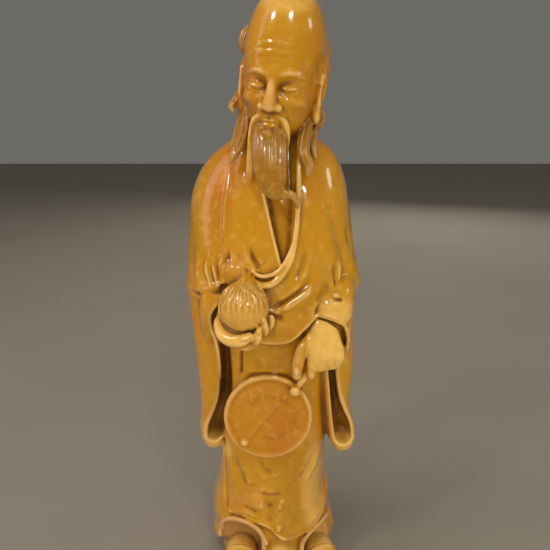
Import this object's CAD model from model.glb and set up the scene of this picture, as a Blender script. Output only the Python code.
# The looks of the elder figurine. It is sculpted in numbers, as clay is: a grid holds each place's
# distance to the skin, and forms are added to it and cut from it. The skin of the clay becomes one mesh,
# and a glaze pools on it in the creases. Sizes and places are in millimetres until the mesh is made.
import math

import bpy
import numpy as np
import openvdb
from mathutils import Matrix, Vector


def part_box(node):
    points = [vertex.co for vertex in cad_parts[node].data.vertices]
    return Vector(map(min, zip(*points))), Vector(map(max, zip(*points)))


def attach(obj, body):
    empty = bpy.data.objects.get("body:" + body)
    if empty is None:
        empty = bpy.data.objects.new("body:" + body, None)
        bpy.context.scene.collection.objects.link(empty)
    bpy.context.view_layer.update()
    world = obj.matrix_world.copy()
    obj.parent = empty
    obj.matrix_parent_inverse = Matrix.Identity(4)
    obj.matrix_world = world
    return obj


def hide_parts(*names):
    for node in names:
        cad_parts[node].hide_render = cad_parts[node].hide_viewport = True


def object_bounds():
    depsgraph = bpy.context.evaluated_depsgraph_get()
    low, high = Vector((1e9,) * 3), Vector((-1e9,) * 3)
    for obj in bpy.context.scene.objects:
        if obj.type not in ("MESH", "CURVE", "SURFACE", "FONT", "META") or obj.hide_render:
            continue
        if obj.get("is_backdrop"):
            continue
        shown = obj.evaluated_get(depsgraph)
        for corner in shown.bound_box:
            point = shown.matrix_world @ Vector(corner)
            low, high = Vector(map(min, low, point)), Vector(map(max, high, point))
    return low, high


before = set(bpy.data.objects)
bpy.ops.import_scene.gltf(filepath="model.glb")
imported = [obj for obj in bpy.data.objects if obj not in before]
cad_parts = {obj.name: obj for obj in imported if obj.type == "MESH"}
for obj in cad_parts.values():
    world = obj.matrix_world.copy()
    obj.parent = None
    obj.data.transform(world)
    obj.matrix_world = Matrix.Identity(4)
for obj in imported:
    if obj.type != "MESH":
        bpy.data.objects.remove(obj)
CAD_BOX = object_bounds()

# Driving dimensions, with the height read from the frame
NODE = "elder_figurine"
MM = 0.001
CROWN_Z = round(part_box(NODE)[1].z / MM)
ROBE_TOP_Z = 256
FAN_RADIUS = 23.5
FRUIT_RADIUS = 12.4
HAND_WIDTH = 20
SHOE_WIDTH = 17
SHOE_HEIGHT = 23

# The clay's grid and the finished mesh
VOXEL = 0.42
CLAY_LOW = np.array((-54.0, -60.0, -4.0))
CLAY_HIGH = np.array((53.0, 39.0, 332.0))
FAR = 6.0  # a distance that stands for anything further off
TRIANGLES = 197_000
# How far round a point the glaze feels for a narrow crease and for a wide hollow
CREASE_REACH = 1.6
POOL_REACH = 6.0

FRONT = (0, -1, 0)
UP = (0, 0, 1)


def smoothstep(value, low, high):
    t = np.clip((value - low) / (high - low), 0.0, 1.0)
    return t * t * (3 - 2 * t)


def smooth_rows(rows, at):
    """Rows of [key, value, value ...] with rising keys, read at other keys along a smooth curve"""
    rows = np.asarray(rows, float)
    keys, values = rows[:, 0], rows[:, 1:]
    index = np.arange(len(keys))
    before, after = np.maximum(index - 1, 0), np.minimum(index + 1, len(keys) - 1)
    slopes = (values[after] - values[before]) / (keys[after] - keys[before])[:, None]
    i = np.clip(np.searchsorted(keys, at, side="right") - 1, 0, len(keys) - 2)
    span = keys[i + 1] - keys[i]
    t = np.clip((at - keys[i]) / span, 0, 1)[:, None]
    m, n = slopes[i] * span[:, None], slopes[i + 1] * span[:, None]
    p, q = values[i], values[i + 1]
    rising = t * t * (3 - 2 * t)
    return p + (q - p) * rising + m * (t**3 - 2 * t**2 + t) + n * (t**3 - t**2)


def smooth_line(points, steps):
    """A smooth curve through points of any number of values, in that many steps"""
    rows = [[i, *point] for i, point in enumerate(points)]
    return smooth_rows(rows, np.linspace(0, len(points) - 1, steps + 1))


def soft_least(a, b, blend):
    """The smaller of two distances, with a fillet of that size where they meet"""
    near = np.maximum(blend - np.abs(a - b), 0) / blend
    return np.minimum(a, b) - near * near * (blend / 4)


class Clay:
    """Distances to the skin on a grid: below zero is clay, above zero is air."""

    def __init__(self):
        self.size = np.round((CLAY_HIGH - CLAY_LOW) / VOXEL).astype(int) + 1
        self.field = np.full(self.size, FAR, np.float32)

    def axis(self, n, first=0, last=None):
        last = self.size[n] if last is None else last
        return (CLAY_LOW[n] + VOXEL * np.arange(first, last)).astype(np.float32)

    def corners(self, low, high):
        first = np.floor((low - CLAY_LOW) / VOXEL).astype(int)
        last = np.ceil((high - CLAY_LOW) / VOXEL).astype(int) + 1
        return np.clip(first, 0, self.size - 1), np.clip(last, 1, self.size)

    def read(self, form, margin):
        """The window of the grid round a form, and the form's own distances there"""
        low = np.min([part[0] for part in form], axis=0) - margin
        high = np.max([part[1] for part in form], axis=0) + margin
        start, end = self.corners(low, high)
        near = np.full(np.maximum(end - start, 1), FAR, np.float32)
        for part_low, part_high, distance in form:
            first, last = self.corners(part_low - margin, part_high + margin)
            if np.any(last <= first):
                continue
            x, y, z = (self.axis(n, first[n], last[n]) for n in range(3))
            inner = tuple(slice(a, b) for a, b in zip(first - start, last - start))
            found = distance(x[:, None, None], y[None, :, None], z[None, None, :])
            near[inner] = np.minimum(near[inner], found)
        return tuple(slice(a, b) for a, b in zip(start, end)), near

    def add(self, form, blend=1.0):
        window, near = self.read(form, blend + 2 * VOXEL)
        self.field[window] = soft_least(self.field[window], near, blend)

    def cut(self, form, blend=1.0):
        window, near = self.read(form, blend + 2 * VOXEL)
        self.field[window] = -soft_least(-self.field[window], near, blend)

    def join(self, other, blend):
        """Adds another block of clay that was worked on by itself"""
        self.field = soft_least(self.field, other.field, blend)


def unit(vector):
    return vector / np.linalg.norm(vector)


def stretch(a, b, side, out, wide, deep, run, square, ripple):
    """One straight stretch of a sweep, as the parts of a form are: low corner, high corner, distance"""
    length = np.linalg.norm(b - a)
    axis = (b - a) / length

    def distance(x, y, z):
        dx, dy, dz = x - a[0], y - a[1], z - a[2]
        ahead = dx * axis[0] + dy * axis[1] + dz * axis[2]
        t = np.clip(ahead / length, 0, 1)
        half_wide = wide[0] + (wide[1] - wide[0]) * t
        half_deep = deep[0] + (deep[1] - deep[0]) * t
        half_end = np.minimum(half_wide, half_deep)
        u = (dx * side[0] + dy * side[1] + dz * side[2]) / half_wide
        v = (dx * out[0] + dy * out[1] + dz * out[2]) / half_deep
        w = (ahead - t * length) / half_end
        if square == 2:
            across = u * u + v * v
        else:
            across = (np.abs(u) ** square + np.abs(v) ** square) ** (2 / square)
        if ripple:
            across = across / ripple(np.arctan2(v, u), run + t * length) ** 2
        whole = np.sqrt(across + w * w)
        slope = np.sqrt((u / half_wide) ** 2 + (v / half_deep) ** 2 + (w / half_end) ** 2)
        return (whole * (whole - 1) / np.maximum(slope, 1e-4)).astype(np.float32)

    reach = 1.1 * max(*wide, *deep)
    return np.minimum(a, b) - reach, np.maximum(a, b) + reach, distance


def sweep(points, face=FRONT, square=2, ripple=None, pose=None, step=1.6):
    """A form swept along a smooth curve through points [x, y, z, half width, half depth]. Its depth
    runs towards face. ripple(angle, run) changes its radius round and along it."""
    length = sum(math.dist(p[:3], q[:3]) for p, q in zip(points, points[1:]))
    rows = smooth_line(points, max(3, round(length / step)))
    places, sizes = rows[:, :3], rows[:, 3:]
    face = np.array(face, float)
    if pose is not None:
        turn, move = pose
        places = places @ turn.T + move
        face = turn @ face
    tangents = np.gradient(places, axis=0)
    form, run = [], 0.0
    for i in range(len(rows) - 1):
        tangent = unit(tangents[i] + tangents[i + 1])
        side = unit(np.cross(tangent, face))
        out = np.cross(side, tangent)
        wide, deep = sizes[i : i + 2, 0], sizes[i : i + 2, 1]
        form.append(stretch(places[i], places[i + 1], side, out, wide, deep, run, square, ripple))
        run += np.linalg.norm(places[i + 1] - places[i])
    return form


def rotation(turn):
    x, y, z = (math.radians(angle) for angle in turn)
    turned = Matrix.Rotation(x, 3, "X") @ Matrix.Rotation(y, 3, "Y") @ Matrix.Rotation(z, 3, "Z")
    return np.array(turned)


def blob(centre, radii, turn=(0, 0, 0), shape=None, pose=None):
    """An ellipsoid, turned about X, Y and Z in degrees. shape(x, y, z) changes its radius by a place on
    the unit sphere."""
    centre, turned = np.array(centre, float), rotation(turn)
    if pose is not None:
        centre, turned = pose[0] @ centre + pose[1], pose[0] @ turned
    radii = np.array(radii, float)

    def distance(x, y, z):
        dx, dy, dz = x - centre[0], y - centre[1], z - centre[2]
        u, v, w = (
            (dx * turned[0, n] + dy * turned[1, n] + dz * turned[2, n]) / radii[n] for n in range(3)
        )
        whole = np.sqrt(u * u + v * v + w * w)
        slope = np.sqrt((u / radii[0]) ** 2 + (v / radii[1]) ** 2 + (w / radii[2]) ** 2)
        if shape:
            whole = whole / shape(*(n / np.maximum(whole, 1e-4) for n in (u, v, w)))
        return (whole * (whole - 1) / np.maximum(slope, 1e-4)).astype(np.float32)

    reach = np.abs(turned) @ radii * 1.1
    return [(centre - reach, centre + reach, distance)]


def both(make):
    """The forms that make(side) gives for the right side, -1, and the left side, 1"""
    return [form for side in (-1, 1) for form in make(side)]


# The robe, as half widths to its right and left and half depths to the front and back, by height.
# Its half sleeves end in a ledge at the elbows.
ROBE = (
    # z, right, left, front, back
    (0, 35, 36, 31, 33),
    (6, 37, 37.2, 32, 34),
    (22, 36.9, 36.8, 33.5, 33),
    (40, 37.2, 32.4, 34, 31),
    (58, 33, 31, 33, 28.5),
    (90, 31.5, 31.2, 31.5, 27),
    (130, 32, 32, 31, 27),
    (150, 34, 35, 34, 27.5),
    (166, 39.5, 38.5, 36.5, 28.5),
    (171, 42.5, 41, 37, 28.8),
    (174, 48, 45, 37, 29.5),
    (183, 47.4, 44.6, 37, 30),
    (205, 45.8, 42.5, 33, 30.5),
    (222, 44, 40, 28, 29),
    (235, 39.5, 37, 22.5, 25.5),
    (245, 32.5, 32.5, 17.5, 20.5),
    (251, 25, 27, 15, 17),
    (ROBE_TOP_Z, 16, 19, 13, 14),
)
ROBE_SQUARENESS = 2.25
ROBE_COLUMNS = 1536
UNROLLED_RADIUS = 38.0  # turns an angle round the robe into a length

RIGHT_PANEL_EDGE = ((192, 4), (210, -0.7), (230, -5), (ROBE_TOP_Z, -10.5))
LEFT_COLLAR_EDGE = ((186, 2), (196, 8.2), (211, 11), (230, 12), (ROBE_TOP_Z, 13))
CHEST_DEPTH = 5.5

# The hem lifts off the table over each foot, by the angle round the robe in degrees
HEM = (
    # angle, z
    (-180, 2),
    (-112, 3),
    (-90, 8),
    (-66, 17),
    (-48, 24),
    (-24, 10),
    (0, 4),
    (22, 10),
    (46, 24),
    (64, 19),
    (84, 10),
    (112, 3),
    (180, 2),
)
HEM_PROUD = 4.5


class Robe:
    """The robe's radius by angle and height. Angle 0 is the front, and angles rise to its left."""

    def __init__(self, levels):
        self.levels = levels
        self.angles = np.linspace(-math.pi, math.pi, ROBE_COLUMNS, endpoint=False)
        self.sizes = smooth_rows(ROBE, levels)
        right, left, front, back = self.sizes.T[:, None, :]
        s, c = np.sin(self.angles)[:, None], np.cos(self.angles)[:, None]
        wide, deep = np.where(s < 0, right, left), np.where(c > 0, front, back)
        p = ROBE_SQUARENESS
        self.base = (np.abs(s / wide) ** p + np.abs(c / deep) ** p) ** (-1 / p)
        self.relief = np.zeros_like(self.base)
        self.x = self.base * s
        self.z = levels[None, :]
        self.front = smoothstep(c, -0.2, 0.3)
        self.is_front = c > 0

    def unrolled(self, x, z, behind):
        right, left, _, _ = smooth_rows(ROBE, np.array([z]))[0]
        angle = math.asin(min(max(x / (right if x < 0 else left), -0.98), 0.98))
        if behind:
            angle = math.copysign(math.pi, x or 1) - angle
        return UNROLLED_RADIUS * angle, z

    def fold(self, points, half_width, height, lean=0.0, taper=0.5, behind=False):
        """Raises or sinks a line through points [x, z]. With taper it is sharp at its first point and
        wide and faint at its last one, and with lean it is steep on one side and gentle on the other."""
        steps = 6 * (len(points) - 1)
        line = smooth_line([self.unrolled(x, z, behind) for x, z in points], steps)
        middle = line[:, 0].mean()
        line[:, 0] -= middle
        around = 2 * math.pi * UNROLLED_RADIUS
        run = (UNROLLED_RADIUS * self.angles - middle + around / 2) % around - around / 2
        reach = 2.2 * half_width * (1 + 0.65 * taper) * (1 + abs(lean))
        low, high = line.min(axis=0) - reach, line.max(axis=0) + reach
        columns = np.nonzero((run > low[0]) & (run < high[0]))[0]
        rows = np.nonzero((self.levels > low[1]) & (self.levels < high[1]))[0]
        s, z = run[columns][:, None], self.levels[rows][None, :]
        nearest = np.full((len(columns), len(rows)), np.inf)
        place, side = np.zeros_like(nearest), np.zeros_like(nearest)
        for i, (a, b) in enumerate(zip(line, line[1:])):
            dx, dz = b - a
            length = math.hypot(dx, dz)
            t = np.clip(((s - a[0]) * dx + (z - a[1]) * dz) / length**2, 0, 1)
            distance = np.hypot(s - a[0] - t * dx, z - a[1] - t * dz)
            across = ((z - a[1]) * dx - (s - a[0]) * dz) / length
            closer = distance < nearest
            nearest = np.where(closer, distance, nearest)
            place = np.where(closer, (i + t) / steps, place)
            side = np.where(closer, across, side)
        fade = smoothstep(place, 0, 0.2) * (1 - smoothstep(place, 0.8 - 0.5 * taper, 1))
        width = half_width * (1 + taper * (0.9 * place - 0.25))
        width = width * (1 + lean * np.clip(side / (0.3 * width), -1, 1))
        raised = height * fade * np.exp(-((nearest / width) ** 2))
        self.relief[np.ix_(columns, rows)] += raised

    def edge(self, line, drop, recover=None, soft=1.2):
        """Ends a layer of cloth along a line of [x, z], with the layer below it that much further in"""
        (edge_z,) = smooth_rows(line, self.x.ravel()).T
        edge_z = edge_z.reshape(self.x.shape)
        first_x, last_x = line[0][0], line[-1][0]
        here = smoothstep(self.x, first_x - 3, first_x) - smoothstep(self.x, last_x, last_x + 3)
        sunk = drop * (1 - smoothstep(self.z, edge_z - soft, edge_z))
        if recover:
            sunk = sunk * smoothstep(self.z, edge_z - recover, edge_z - 3 * soft)
        lip = 0.3 * drop * np.exp(-(((self.z - edge_z - 1.1) / 1.3) ** 2))
        self.relief += self.front * here * (lip - sunk)

    def chest(self):
        """Sinks the chest between the right panel's edge and the left panel's collar"""
        start = smooth_rows(RIGHT_PANEL_EDGE, self.levels).T
        end = smooth_rows(LEFT_COLLAR_EDGE, self.levels).T
        inside = smoothstep(self.x, start - 0.5, start + 1.2)
        inside = inside * (1 - smoothstep(self.x, end - 1.6, end))
        across = (2 * self.x - start - end) / np.maximum(end - start, 1)
        depth = CHEST_DEPTH * (0.8 + 0.35 * np.minimum(across**2, 1))
        open_here = self.is_front & (self.z > LEFT_COLLAR_EDGE[0][0])
        self.relief -= np.where(open_here, depth * inside, 0)

    def hem(self):
        (hem_z,) = smooth_rows(HEM, np.degrees(self.angles)).T
        hem_z = hem_z[:, None]
        self.relief -= HEM_PROUD * (1 - smoothstep(self.z, hem_z - 3, hem_z))

    def wobble(self, random, size, height):
        """The slight waves of a surface shaped by hand"""
        run = UNROLLED_RADIUS * self.angles[:, None]
        for _ in range(10):
            turns = max(1, round(random.normal(0, 1) * 2 * math.pi * UNROLLED_RADIUS / size))
            rise = random.normal(0, 1) / size
            phase = random.uniform(0, 2 * math.pi)
            wave = np.cos(turns * run / UNROLLED_RADIUS + 2 * math.pi * rise * self.z + phase)
            self.relief += height * wave / math.sqrt(5)


# Each fold is a line from where it is sharpest to where it fades: points [x, z], half width, height,
# and how much steeper one side is
SHOULDER_FOLDS = (
    (((-28.8, 203), (-30, 218), (-29.4, 234), (-25, 248)), 1.4, 1.2, 0),
    (((33, 190), (29, 206), (24, 228)), 4.2, 1.2, 0),
    (((38, 194), (34.5, 208), (29.5, 232)), 3.2, -1.1, 0),
    (((15, 212), (17.5, 224), (18, 240)), 2.6, -0.8, 0),
    (((43, 184), (41, 198), (37, 214)), 2.4, -1.4, 0.3),
    (((-43, 184), (-43.5, 196), (-42, 210)), 2.6, -0.9, 0),
)
PLEATS = (
    (((-32.6, 178.6), (-34.8, 185), (-36.2, 189.8), (-36.4, 193.9), (-34.1, 201)), 0.9, 1.6, 0.4),
    (((-30.4, 179.6), (-31.6, 186.4), (-33.3, 192.4), (-33.5, 199)), 0.75, 1.4, 0.3),
    (((-28.6, 180.4), (-30, 187), (-30.6, 194.2), (-30.2, 201)), 0.65, 1.1, -0.3),
    (((-26.8, 181.6), (-27.9, 187.6), (-29.2, 193.6), (-28.6, 197.2), (-27.9, 204)), 0.9, 1.9, 0.4),
    (((-23.3, 195.5), (-24.6, 197.6), (-25.9, 203)), 0.9, 1.5, -0.3),
    (((-25.8, 183.9), (-25.7, 187), (-26.7, 195.4), (-26.7, 202)), 1.1, -2.6, 0),
    (((-32.4, 182.5), (-34, 188), (-35, 195)), 0.7, -1.5, 0),
    (((-30.4, 184), (-31.2, 189), (-32, 197)), 0.7, -1.4, 0),
    (((-28.4, 184.5), (-29.3, 190), (-29.8, 198)), 0.6, -1.3, 0),
    (((-35.5, 182), (-38, 190), (-38, 199)), 1.4, -1.2, 0),
    (((-33, 180), (-39, 179.6), (-44.5, 178.4)), 2.4, 1.3, 0),
    (((-39.5, 181), (-41, 188), (-40.6, 196)), 1.4, 0.7, 0),
)
LAP_FOLDS = (
    (((-8.8, 191.6), (-11.6, 195.4), (-14.1, 198.8), (-15.9, 206.2)), 1.2, -1.9, 0),
    (((-10.1, 190.5), (-12.8, 194.4), (-15.9, 198.7), (-18.4, 207)), 1.3, 1.7, 0.3),
    (((-6, 194), (-8.4, 199), (-9.4, 208)), 2.6, 0.8, 0),
    (((-15.5, 193.5), (-18.6, 199), (-20.5, 207)), 1.6, 0.8, 0),
    (((12.7, 185.9), (16.1, 192.2), (18.6, 198.9), (21.2, 209)), 1.4, -1.1, 0.4),
    (((15.2, 185.5), (19, 192.5), (21.6, 200), (24, 209)), 2.0, 1.0, 0),
    (((-1.5, 172.5), (4.1, 174.3), (10, 177.8), (16.2, 181.8), (20.5, 186.7), (24.7, 198)), 1.5, -2.2, 0.4),
    (((1.8, 175.6), (9.2, 179.4), (14.6, 184), (18.6, 190.5)), 1.8, 1.5, 0),
    (((0.8, 170.8), (10.7, 174.4), (17.2, 178.8), (20.4, 182.8), (24, 190)), 2.3, 2.0, 0),
    (((-4, 171.7), (0.8, 170.7), (5.1, 170.2)), 1.1, 1.2, 0),
    (((-4, 168.9), (2.3, 167.1), (7.2, 167.8)), 1.4, -1.9, 0.3),
    (((14, 168), (20, 172.5), (24, 179)), 2.2, -0.8, 0),
    (((24, 173), (28.6, 180.6), (31.8, 188)), 2.3, -2.0, 0),
    (((34.3, 183), (34.6, 189.6), (35, 197)), 1.0, 1.4, 0.3),
    (((32.3, 177.1), (31.2, 188)), 1.0, 1.1, 0),
    (((33.4, 179), (32.9, 188), (33, 196)), 0.9, -1.1, 0),
    (((36.4, 178), (37.2, 188), (37.2, 199)), 1.5, -0.8, 0),
    (((-1, 162), (6, 160.5), (13, 164.5)), 6.0, 1.6, 0),
)
SKIRT_FOLDS = (
    (((-12, 147), (-10, 141), (-11, 136)), 2.2, -0.7, 0),
    (((-8, 144), (-5, 139), (-6, 134.5)), 1.4, 0.7, 0),
    (((-14.2, 62.4), (-17.4, 69.7), (-20.4, 76.9), (-22, 89)), 2.5, -1.5, 0.2),
    (((-11.6, 64.5), (-14.6, 74), (-18.3, 86)), 3.2, 1.2, 0),
    (((0.4, 73.2), (-5, 75.8), (-8.1, 80.2), (-10.6, 88)), 2.3, -1.4, 0.2),
    (((-2, 69.9), (-6.8, 73.2), (-10.2, 79.8), (-13.4, 88)), 2.8, 1.1, 0),
    (((3.4, 74.4), (5.3, 79.5)), 1.1, 0.8, 0),
    (((8.6, 65.8), (13.1, 67.4), (16.8, 72.8), (21, 78.6), (24.2, 88)), 2.2, -1.5, -0.2),
    (((14.9, 64.8), (19, 70.8), (23, 76.4), (26.2, 86)), 3.2, 1.2, 0),
    (((-9, 64.2), (-1, 63), (6.5, 63.9)), 2.4, 1.1, 0),
    (((-2.2, 50.6), (-3.6, 55), (-6.4, 59.4)), 2.0, -0.8, 0),
    (((-2.2, 50.6), (0, 55), (3.4, 59)), 2.0, -0.7, 0),
    (((-2.6, 42), (-2.2, 49), (-2.8, 57)), 2.6, -1.3, 0),
    (((6, 58.8), (3, 54.2), (5, 49.2)), 2.0, 1.4, 0.3),
    (((9, 57.5), (6.6, 53.4), (8.4, 48)), 1.4, 0.9, 0),
    (((-4.4, 54), (-9.6, 54.6), (-14, 56.6)), 3.4, 1.7, 0),
    (((-9, 48.6), (-14, 50.3), (-21, 51.4)), 1.2, -0.9, 0),
    (((2.5, 37), (2.6, 40.4), (3.2, 43.5)), 2.2, 1.9, 0),
    (((18.5, 37), (17.4, 46), (14, 56)), 2.2, -0.8, 0.4),
    (((22, 38), (21, 48), (18.5, 58)), 2.6, 0.7, 0),
    (((28, 44), (27.5, 66), (26, 92)), 3.5, -0.7, 0),
    (((-23.4, 56), (-23.2, 70), (-23, 90)), 2.4, 0.8, 0),
    (((0.5, 8), (0, 22), (0.5, 32)), 2.6, 1.4, 0),
    (((9, 6), (9.5, 20), (9, 29)), 2.4, -1.1, 0),
    (((-6.5, 6), (-4, 18), (-3, 32)), 1.9, -0.8, 0),
    (((14.5, 6), (14.5, 18), (13, 30)), 1.9, 0.9, 0),
)
EVEN_FOLDS = (
    (((-46.4, 174.4), (-44, 175.2), (-38.4, 176.4), (-33.9, 178.4), (-28.6, 182.2)), 1.1, -3.4, 0),
    (((-18, 149), (-18, 140), (-17.8, 130)), 1.1, -2.4, 0),
    (((-17, 134.3), (-3, 135.3), (11, 134.3)), 1.3, 1.2, 0),
    (((-27.8, 98), (-27.4, 80), (-27, 60.6), (-26.5, 39)), 1.1, -2.8, 0),
    (((-7.4, 61.9), (-2.4, 60.0), (5.2, 61.1)), 1.9, -1.2, 0.2),
    (((-24.7, 47), (-17.8, 48.2), (-12.6, 47.3), (-7.5, 45.4)), 1.2, 1.0, 0),
)
PAIRED_BACK_FOLDS = (
    (((3, 166), (12, 196), (24, 236)), 3.2, -1.9, -0.3),
    (((1, 172), (9, 200), (19, 236)), 2.4, 1.3, 0),
    (((10, 162), (22, 188), (34, 218)), 3.2, 1.8, 0),
    (((18, 164), (28, 186), (38, 208)), 2.0, -1.5, -0.3),
    (((32, 4), (28, 70), (27, 132)), 3.0, 1.4, 0),
)
BACK_FOLDS = (
    (((-25, 8), (-21, 88), (-20, 150)), 2.8, -2.8, 0.3),
    (((-10, 6), (-8, 88), (-7, 150)), 2.6, -2.6, -0.3),
    (((9, 6), (8, 88), (8, 150)), 2.8, -2.6, 0.3),
    (((24, 8), (20, 88), (21, 150)), 2.6, -2.8, -0.3),
    (((-18, 3), (-15, 70), (-14, 140)), 3.6, 1.9, 0),
    (((-1, 3), (0, 70), (0, 140)), 3.8, 1.9, 0),
    (((17, 3), (14, 70), (14, 140)), 3.4, 1.9, 0),
    (((-5.5, 8), (-4.5, 60), (-4, 108)), 1.4, -1.1, 0),
    (((20, 8), (17, 60), (17, 112)), 1.4, -1.1, 0),
    (((-21, 6), (-18, 66), (-18, 100)), 1.4, -1.1, 0),
)

# The lower edges of the mantle and of the skirt, as [x, z]
MANTLE_EDGE = (
    (-26, 164), (-16, 156.5), (-8.8, 153.2), (0.8, 152), (8.4, 153.3), (14.8, 158.6), (20, 164),
    (26, 170),
)
SKIRT_EDGE = (
    (-24.8, 43.9), (-18.9, 44.9), (-13.7, 43.3), (-7.5, 41.3), (-3.5, 39.6), (1.6, 35.4), (5.2, 32.2),
    (8.8, 31.1), (14.5, 32.2), (21.4, 34), (28, 38),
)


def robe_table(levels):
    """The robe with its layers and folds"""
    robe = Robe(levels)
    for folds in (SHOULDER_FOLDS, PLEATS, LAP_FOLDS, SKIRT_FOLDS):
        for points, half_width, height, lean in folds:
            robe.fold(points, half_width, height, lean)
    for points, half_width, height, lean in EVEN_FOLDS:
        robe.fold(points, half_width, height, lean, taper=0)
    for points, half_width, height, lean in BACK_FOLDS:
        robe.fold(points, half_width, height, lean, behind=True)
    for points, half_width, height, lean in PAIRED_BACK_FOLDS:
        for side in (-1, 1):
            beside = [(side * x, z) for x, z in points]
            robe.fold(beside, half_width, height, side * lean, behind=True)
    robe.edge(MANTLE_EDGE, drop=3.4, recover=34)
    robe.edge(SKIRT_EDGE, drop=2.6)
    robe.chest()
    robe.hem()
    random = np.random.default_rng(11)
    robe.wobble(random, size=30, height=0.12)
    robe.wobble(random, size=9, height=0.04)
    return robe


def add_robe(clay):
    """Fills the grid with the robe, one slice of x at a time"""
    robe = robe_table(clay.axis(2).astype(float))
    radius = robe.base + robe.relief
    per_column = 2 * math.pi / ROBE_COLUMNS
    around = np.gradient(radius, per_column, axis=0) / radius
    rising = np.gradient(radius, VOXEL, axis=1)
    steep = (1 / np.sqrt(1 + around**2 + rising**2)).astype(np.float32)
    radius = radius.astype(np.float32)
    y = clay.axis(1)
    above = clay.axis(2) - ROBE_TOP_Z
    for i, x in enumerate(clay.axis(0)):
        column = (np.arctan2(x, -y) + math.pi) / per_column
        low = np.floor(column).astype(int)
        share = (column - low)[:, None]
        low = low % ROBE_COLUMNS
        reach = radius[low] * (1 - share) + radius[(low + 1) % ROBE_COLUMNS] * share
        out = (np.hypot(x, y)[:, None] - reach) * steep[low]
        clay.field[i] = np.minimum(clay.field[i], np.maximum(out, above))


def on_robe(x, z):
    """A place on the front of the robe"""
    right, left, front, _ = smooth_rows(ROBE, np.array([float(z)]))[0]
    wide = right if x < 0 else left
    share = min(abs(x / wide), 0.97)
    forward = front * (1 - share**ROBE_SQUARENESS) ** (1 / ROBE_SQUARENESS)
    return math.copysign(share * wide, x), -forward, z


def sized(points, wide, deep=None):
    """Points with one half width and half depth"""
    return [(*point, wide, wide if deep is None else deep) for point in points]


# The rolled edge of the left panel runs down, round and up again like a U, to the right wrist
LEFT_COLLAR = (
    (14, -12, 256), (12.6, -20, 243), (12.3, -25.5, 230), (11.2, -31.5, 211), (8, -35.5, 196),
    (0.5, -38, 186.5), (-7, -38, 185.5), (-15, -35, 191), (-24, -29, 197),
)
RIGHT_EDGE = ((-11.5, -13, 256), (-8, -21, 243), (-5, -26.5, 229), (-0.7, -31.5, 210), (3.4, -35, 194))
NECKBAND = (
    (14, -11, 255), (18.5, 2, 258), (11, 14, 259), (-7, 14.5, 259), (-16, 3, 258), (-11.5, -12, 255),
)


def add_collars(clay):
    clay.add(sweep(sized(NECKBAND, 2.0, 3.4), face=UP), 1.5)
    halves = (1.3, 1.3, 1.3, 1.35, 1.6, 1.9, 1.6, 1.2, 0.8)
    clay.add(sweep([(*point, half, half) for point, half in zip(LEFT_COLLAR, halves)]), 0.9)
    inside = (
        (9, -33.6, 204.6, 0.3), (5.2, -36.6, 195.6, 0.8), (0.2, -37.6, 190.6, 1.1),
        (-7, -37.4, 189.6, 1.0), (-13.4, -35, 194, 0.7), (-19.6, -32.4, 198.4, 0.3),
    )
    clay.add(sweep([(x, y, z, half, half) for x, y, z, half in inside]), 0.7)
    clay.add(sweep(sized(RIGHT_EDGE, 0.75, 1.4)), 0.9)


# Long sleeves hang from both wrists as flat bags, open at the front in a drop-shaped mouth
RIGHT_SLEEVE = {
    "bag": (
        (-36, -3, 176, 11, 18), (-32.2, -7, 152, 12.6, 18), (-31, -8, 128, 11.8, 17),
        (-32.4, -8.5, 106, 9.4, 15.5), (-34.8, -9, 92, 8.2, 12.5), (-35, -9.5, 83.6, 6.4, 8),
    ),
    "mouth": (
        (-27, -27, 164, 2, 9), (-26.2, -26, 146, 2.6, 10), (-26.4, -25, 118, 3.2, 10),
        (-32, -22.5, 97, 4.4, 9), (-33.2, -20, 90.4, 4, 8),
    ),
}
LEFT_SLEEVE = {
    "bag": (
        (36, -4, 178, 9, 18), (34.8, -6, 152, 9.8, 18.5), (34.8, -7.5, 130, 10.2, 17),
        (35.6, -8.5, 108, 8.2, 15.5), (38.8, -9.5, 91, 8.6, 12.5), (40.2, -10, 82.4, 6.8, 8),
    ),
    "mouth": (
        (30, -28, 164, 1.8, 9), (31, -27, 140, 1.8, 10), (33.6, -26, 116, 2.2, 10),
        (38.4, -22.5, 96, 4.6, 9), (39.6, -20, 88.6, 4.4, 8),
    ),
}


def sleeve_mouth(sleeve):
    return sweep([(x, y + 2, z, wide, deep + 2) for x, y, z, wide, deep in sleeve["mouth"]])


def add_sleeve(clay, sleeve):
    clay.add(sweep(sleeve["bag"], square=2.4), 2.5)
    clay.cut(sleeve_mouth(sleeve), 1.6)


def add_elbows(clay):
    """Cloth at the forearms: a pointed left elbow, and a puff over the right wrist with a pit beside it"""
    tip = (
        (36, -8, 194, 7, 12), (39.4, -9.6, 186, 5.8, 10), (42.6, -10, 180.4, 3.8, 7),
        (45, -10, 177.6, 1.5, 3),
    )
    clay.add(sweep(tip), 3.4)
    clay.add(blob((-18.6, -31.8, 189.6), (6.6, 5.8, 7), turn=(14, 20, 0)), 2.4)
    clay.cut(blob((-25.4, -34, 181), (2.4, 6, 4.2), turn=(0, 38, 0)), 0.9)


CUFF = (
    (35, -13, 181, 7.6, 9.6), (32.8, -20.6, 175.4, 9.2, 10), (31.4, -24.6, 170.6, 9.8, 9.6),
    (31, -25.8, 166.4, 9.8, 8.8),
)


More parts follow.
